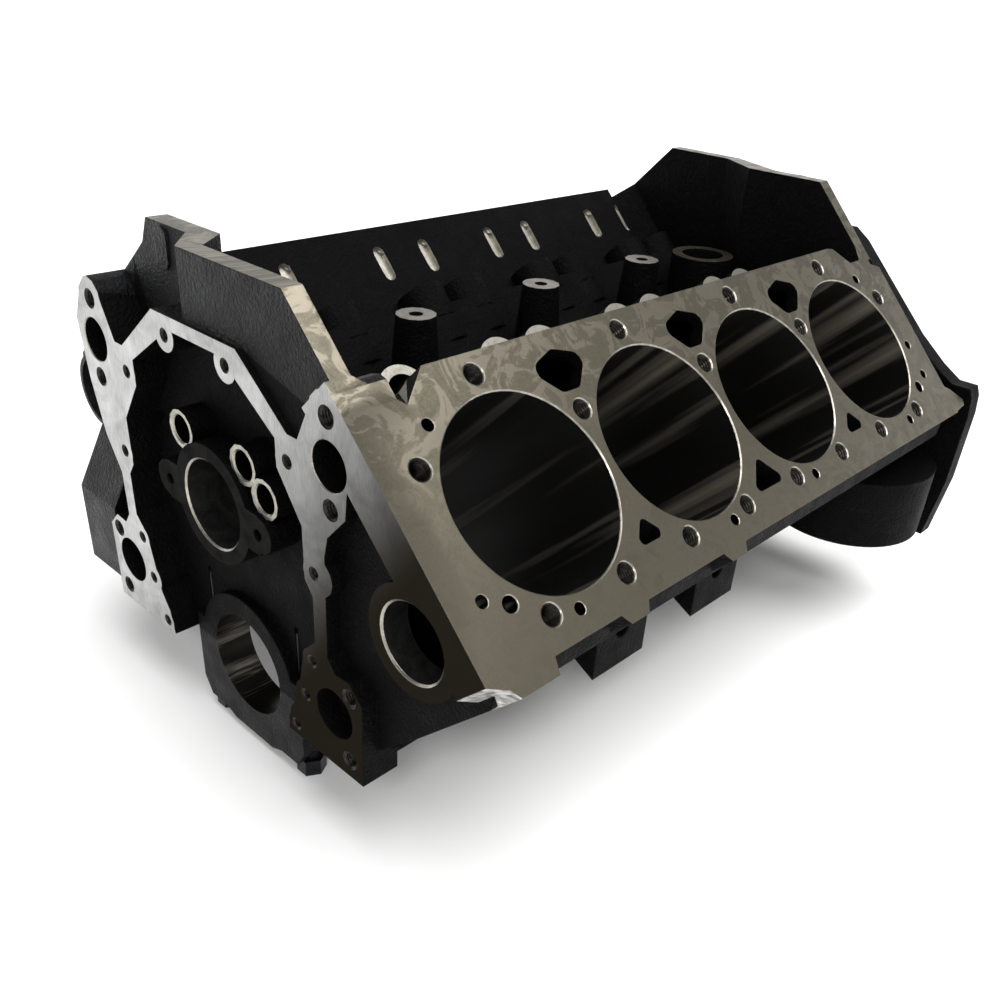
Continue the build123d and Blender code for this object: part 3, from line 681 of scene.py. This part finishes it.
def merged_copy(node, name):
    """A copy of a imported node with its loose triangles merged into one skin."""
    source = frame["nodes"][node].data
    points = np.zeros(len(source.vertices) * 3)
    corners = np.zeros(len(source.loops), int)
    source.vertices.foreach_get("co", points)
    source.loops.foreach_get("vertex_index", corners)
    mesh = bpy.data.meshes.new(name)
    mesh.from_pydata(points.reshape(-1, 3).tolist(), [], corners.reshape(-1, 3).tolist())
    work = bmesh.new()
    work.from_mesh(mesh)
    bmesh.ops.remove_doubles(work, verts=work.verts, dist=2e-6)
    work.to_mesh(mesh)
    work.free()
    thing = bpy.data.objects.new(name, mesh)
    bpy.context.scene.collection.objects.link(thing)
    return thing


def combine(thing, cutter, operation):
    """Add the other body to the thing, or take it out, and keep the result as its mesh."""
    modifier = thing.modifiers.new("combine", "BOOLEAN")
    modifier.operation = operation
    modifier.solver = "EXACT"
    modifier.object = cutter
    graph = bpy.context.evaluated_depsgraph_get()
    result = bpy.data.meshes.new_from_object(thing.evaluated_get(graph))
    thing.modifiers.clear()
    thing.data = result
    bpy.data.objects.remove(cutter)


def face_arrays(mesh):
    """Centres in millimetres and normals of all faces."""
    centre = np.zeros(len(mesh.polygons) * 3)
    normal = np.zeros(len(mesh.polygons) * 3)
    mesh.polygons.foreach_get("center", centre)
    mesh.polygons.foreach_get("normal", normal)
    return centre.reshape(-1, 3) / mm, normal.reshape(-1, 3)


def near_ring(a, b, centres, radius, slack=0.9):
    """Which points of the plane lie within slack of a circle round any of the centres."""
    return np.any([np.abs(np.hypot(a - p, b - q) - radius) < slack for p, q in centres], 0)


def block_finishes(mesh):
    """Number of the finish of each face of the casting, from where it lies and which way it looks."""
    (x, y, z), (nx, ny, nz) = (values.T for values in face_arrays(mesh))
    finish = np.zeros(len(x), int)
    round_crank = np.abs(ny) < side_on
    finish[near_ring(x, z, [(0, 0)], main_radius) & round_crank] = BORED
    # The cam and plug bores take the near-black iron: painted shade inside the bores
    finish[near_ring(x, z, [(0, cam_z)], cam_radius) & round_crank] = DARK
    plugs = [tuple(mount_at(f"{side}_front_core_plug")[[0, 2]]) for side in ("left", "right")]
    finish[near_ring(x, z, plugs, plug_radius) & round_crank & (y < 40)] = DARK
    finish[near_ring(x, z, galleries, gallery_radius, 1.3) & (y < 27)] = THREAD
    planes = (
        (y, 0, -ny, GROUND),
        (y, bell_y, ny, GROUND),
        (z, pan_rail_z, -nz, GROUND),
        (x, -pump_pad_x, -nx, GROUND),
        (y, gallery_face_y, -ny, PALE),
        (z, wall_top, nz, MILLED),
        (z, post_top, nz, PALE),
    )
    for value, place, facing, kind in planes:
        finish[(np.abs(value - place) < on_plane) & (facing > square_on)] = kind
    finish[(np.abs(z - filter_z) < filter_slack) & (nz < -square_on) & (x > 90)] = GROUND
    cam_face = (np.abs(y - cam_face_y) < on_plane) & (ny < -square_on)
    finish[cam_face & (np.hypot(x, z - cam_z) < cam_face_radius)] = DARK
    sunk = (ny < -side_on) & (ny > -slanted) & (y < 12)
    for px, _, pz, radius, lip in plug_mouths():
        finish[near_ring(x, z, [(px, pz)], radius + lip / 2, lip / 2 + 0.1) & sunk] = BRIGHT
    for side in (1, -1):
        out = side * x
        n = (out + z) * slope
        u = (z - out) * slope
        along = y if side > 0 else 2 * mid_y - y
        rise = (side * nx + nz) * slope
        bores = [(b, 0) for b in bore_ys]
        holes = head_bolts + deck_dowels + steam_holes
        walls = np.abs(rise) < side_on
        finish[near_ring(along, u, bores, bore_radius) & walls & (n > 90)] = HONED
        finish[(np.abs(n - deck_n) < on_plane) & (rise > square_on)] = MILLED
        mouths = near_ring(along, u, bores, bore_radius, 1.5) | near_ring(along, u, holes, 4.8, 2.0)
        chamfer = (rise > side_on) & (rise < slanted) & (n > deck_n - 1.2) & (n < deck_n + 0.1)
        finish[mouths & chamfer] = BRIGHT
        pads = near_ring(along, u, lifters, lifter_radius + 3, 4.5)
        finish[pads & (np.abs(n - lifter_top) < on_plane) & (rise > square_on)] = PALE
        finish[near_ring(along, u, lifters, lifter_radius) & walls & (n < lifter_top)] = HONED
        finish[near_ring(along, u, holes, 4.4, 1.4) & walls & (n > deck_n - 40)] = THREAD
        sunk = (u < valley_wall_u - 0.1) & (u > valley_wall_u - groove_depth - 0.4)
        for centre in groove_ys:
            inside = (np.abs(along - centre) < 4.8) & (np.abs(n - groove_n) < groove_half + 0.2)
            finish[inside & sunk] = PALE
    knocked = (x > 178) & (y < 16) & (z > 84) & (z < 114) & (nz < -side_on) & (ny < -0.2)
    finish[knocked] = SCUFF
    holes = near_ring(x, z, [(p[0], p[2]) for p in front_places(cover_bolts + pump_bolts)], 4.0, 1.9)
    finish[holes & (y < 20) & (y > 0.02)] = THREAD
    distributor = mount_at("distributor_bore")
    pad = np.hypot(x - distributor[0], y - distributor[1]) < distributor_pad_radius
    finish[pad & (np.abs(z - distributor_top) < on_plane) & (nz > square_on)] = MILLED
    # Painted shade: every painted face outside the lit front takes the darker, duller copy of the paint
    lit_paint_faces = ((z > 205) & (y < 40)) | ((x < -100) & (y < 60) & (ny < -0.5))
    finish[~lit_paint_faces & (finish == CAST)] = SHADE
    return finish


# Sand-cast iron painted satin black: black between pinpoints of light, partly painted glints in its colour;
# the lit copy of the paint, kept on the front
cast = painted_cast_iron("satin_black_cast_iron", "#040405", "#24272c", 0.33, 1.6, 0.11)
# Painted shade: a darker, duller copy of the same paint on every painted face but the front wall and the far
# bank's front, so the valley, the sides and the underside give back almost no light
shade = painted_cast_iron("shaded_black_cast_iron", "#070708", "#101113", 0.5, 2.0, 0.035)
# Bearing caps in dark bare iron, shot-blasted after casting: a touch lighter than the paint
cap_cast = painted_cast_iron("dark_cap_iron", "#0c0c0d", "#202226", 0.42, 1.2, 0.1)
# Face-milled gasket faces: warm grey with fine cutter lines and dried coolant near the valley
dried_coolant = ("#918a7c", 5, 50)
milled = machined_iron(
    "face_milled_iron", "#777163", "#5b574c", 0.36, 1.1, 22, deck=True, patches=dried_coolant
)
# Belt-ground front faces: bright and cool, with a painted shade that darkens them towards the lower left
# bank
lower_left_shade = ("#1d1a15", (1, 0, -0.8), -120, 50)
ground = machined_iron("ground_iron", "#b6b7b7", "#8d8d8b", 0.32, 0.9, 40, (1, 1, 0.12), painted_fade=lower_left_shade)
# Honed cylinder walls: near black as painted shade down the deep bores, with painted highlight streaks along
# the bore
honed = machined_iron(
    "honed_iron", "#958e80", "#0c0b0a", 0.36, 8.0, 26, (1, 1, 0.04), 0.4, deck=True, highlight_streaks=True
)
# Line-bored main saddles: dark iron with painted highlight streaks along the crank
bored = machined_iron("line_bored_iron", "#aca79c", "#262420", 0.3, 1.4, 14, (1, 0.06, 1), highlight_streaks=True)
# Tapped threads: small facets in a dark grey that is painted shade inside the holes
tapped = machined_iron("tapped_iron", "#3b3935", "#131211", 0.32, 0.6, 6)
# Spot-faced pads and grooves: pale, freshly cut
pale = machined_iron("spot_faced_iron", "#aeaaa0", "#8a877f", 0.42, 0.7, 9)
# Countersunk edges: the brightest cut metal
bright = machined_iron("countersunk_iron", "#b0aca2", "#7d796f", 0.3, 0.6, 12)
# Bored cam boss, plug bores and cap joints: machined iron coloured near black with no metal showing; inside
# the cam and plug bores this is painted shade
dark = machined_iron("near_black_iron", "#242423", "#121212", 0.34, 0.9, 18, metal=0.0)
# Knocked corner: paint scraped off in bright streaks down to the iron
scuff = machined_iron("scuffed_corner", "#d2d0cb", "#1c1c1d", 0.4, 3.5, 7, (0.3, 1, 1), 0.6)
# Ground dowel steel: the cleanest and smoothest metal of the block
dowel_steel = machined_iron("ground_dowel_steel", "#d9d6d0", "#bdbab3", 0.22, 0.5, 20)
# Black oxide on the cap bolts: a thin dark skin with brighter worn corners
oxide = machined_iron("black_oxide_steel", "#3c3c3f", "#222224", 0.35, 0.8, 10)
block_materials = [cast, milled, ground, honed, tapped, pale, bright, dark, scuff, shade, bored]


def make_block():
    """The casting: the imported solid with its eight-sided holes bored round and its faces finished."""
    block = merged_copy("cylinder_block", "block_casting")
    combine(block, make_object("fillers", *block_fillers()), "UNION")
    combine(block, make_object("cutters", *block_cutters()), "DIFFERENCE")
    for material in block_materials:
        block.data.materials.append(material)
    block.data.polygons.foreach_set("material_index", block_finishes(block.data))
    place = np.zeros(len(block.data.vertices) * 3)
    block.data.vertices.foreach_get("co", place)
    x, y, z = place.reshape(-1, 3).T
    side = np.where(x < 0, -1, 1)
    along = np.where(x < 0, 2 * mid_y * mm - y, y)
    deck = np.stack([along, (z - side * x) * slope, (side * x + z) * slope], -1)
    block.data.attributes.new("deck_place", "FLOAT_VECTOR", "POINT").data.foreach_set("vector", deck.ravel())
    smooth(block.data)
    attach(block, "root")
    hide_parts("cylinder_block")


def make_threads():
    """Threads of the tapped holes on the decks and on the timing face, as closed ridged sleeves."""
    parts = [thread(deck_places(side, head_bolts, deck_n), (side, 0, 1), head_hole) for side in (1, -1)]
    parts.append(thread(front_places(cover_bolts), front, cover_hole))
    parts.append(thread(front_places(pump_bolts), front, pump_hole))
    threads = make_object("tapped_threads", *join(parts))
    threads.data.materials.append(tapped)
    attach(threads, "root")


def make_dowels():
    """Two ground dowel pins with chamfered ends in the bell face."""
    low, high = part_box("bell_housing_dowels")
    radius = (high.z - low.z) / 2 / mm
    length = (high.y - low.y) / mm
    middle = (high.z + low.z) / 2 / mm
    x = high.x / mm - radius
    root, lead = 1.2, 1.8
    near, far = radius - root, radius - lead
    profile = [(0, 0), (near, 0), (radius, root), (radius, length - lead), (far, length), (0, length)]
    places = [(x, low.y / mm, middle), (-x, low.y / mm, middle)]
    pins = make_object("bell_dowel_pins", *lathe(profile, places, back, 48))
    pins.data.materials.append(dowel_steel)
    smooth(pins.data)
    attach(pins, "root")
    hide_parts("bell_housing_dowels")


def make_caps():
    """Main bearing caps: cast flanks, with the bore and the joint machined."""
    for k in range(1, 6):
        node = f"main_cap_{k}"
        cap = merged_copy(node, f"bearing_cap_{k}")
        for material in (cap_cast, bored, dark):
            cap.data.materials.append(material)
        (x, y, z), (nx, ny, nz) = (values.T for values in face_arrays(cap.data))
        finish = np.zeros(len(x), int)
        finish[nz > square_on] = CAP_JOINT
        finish[near_ring(x, z, [(0, 0)], main_radius) & (np.abs(ny) < side_on)] = CAP_BORED
        cap.data.polygons.foreach_set("material_index", finish)
        smooth(cap.data)
        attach(cap, "root")
        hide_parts(node)


def finish_bolts():
    """Black oxide on the hexagon-headed cap bolts, which stay as packed."""
    for name, thing in frame["nodes"].items():
        if "_bolt_" in name:
            thing.data.materials.clear()
            thing.data.materials.append(oxide)


def make_camera():
    """Camera at the photograph's place, turn, tilt and roll, with its lens and its small upward shift."""
    azimuth, elevation, roll = 41.948, 32.124, 3.84
    place = (433.871, -244.269, 375.811)
    data = bpy.data.cameras.new("camera")
    data.sensor_width = 36.0
    data.lens = 35.623
    data.shift_x = 0.001
    data.shift_y = 0.080
    data.clip_end = 200
    camera = bpy.data.objects.new("camera", data)
    bpy.context.scene.collection.objects.link(camera)
    turn = Matrix.Rotation(radians(azimuth), 4, "Z") @ Matrix.Rotation(radians(90 - elevation), 4, "X")
    stand = Matrix.Translation(Vector(place) * mm) @ turn
    camera.matrix_world = stand @ Matrix.Rotation(radians(roll), 4, "Z")
    bpy.context.scene.camera = camera


def make_floor():
    """A wide round white floor under the lowest point of the part, whose far rim rises over the horizon.

    A point is (radius * cos a, radius * sin a, lowest point + rise of its ring), with a round the turn.
    """
    sides = 96
    ring = np.linspace(0, 2 * pi, sides + 1)[:-1]
    radii = np.array([0.0, 3000.0, 12000.0, 60000.0])
    rise = np.array([0.0, 0.0, 0.0, 20000.0]) + cad_box[0][2] / mm
    height = np.repeat(rise[:, None], sides, 1)
    grid = np.stack([radii[:, None] * np.cos(ring), radii[:, None] * np.sin(ring), height], -1)
    index = np.arange(len(radii) * sides).reshape(-1, sides)
    after = np.roll(index, -1, 1)
    quads = np.stack([index[:-1], index[1:], after[1:], after[:-1]], -1).reshape(-1, 4)
    floor = make_object("studio_floor", grid.reshape(-1, 3), quads)
    floor.data.materials.append(matt_board())


def sun_lamp(name, direction, spread, strength):
    """A soft lamp so large and far that it lights the whole floor alike; the direction points to it."""
    data = bpy.data.lights.new(name, "SUN")
    data.angle = radians(spread)
    data.energy = strength
    lamp = bpy.data.objects.new(name, data)
    lamp.rotation_euler = Vector(direction).to_track_quat("Z", "Y").to_euler()
    bpy.context.scene.collection.objects.link(lamp)


def make_light():
    """Plain soft studio light: a very wide lamp overhead, a smaller one at the front and a dim room."""
    world = bpy.data.worlds.new("studio")
    world.use_nodes = True
    room = world.node_tree.nodes["Background"].inputs
    room["Color"].default_value = linear("#ffffff")
    room["Strength"].default_value = 0.2
    bpy.context.scene.world = world
    sun_lamp("overhead", (0.3, 0.12, 1.0), 60, 4.1)
    sun_lamp("front_fill", (0.45, -0.6, 0.65), 14, 0.9)
    bpy.context.scene.view_settings.view_transform = "Standard"


make_camera()
make_block()
make_threads()
make_dowels()
make_caps()
finish_bolts()
make_floor()
make_light()

bpy.context.view_layer.update()
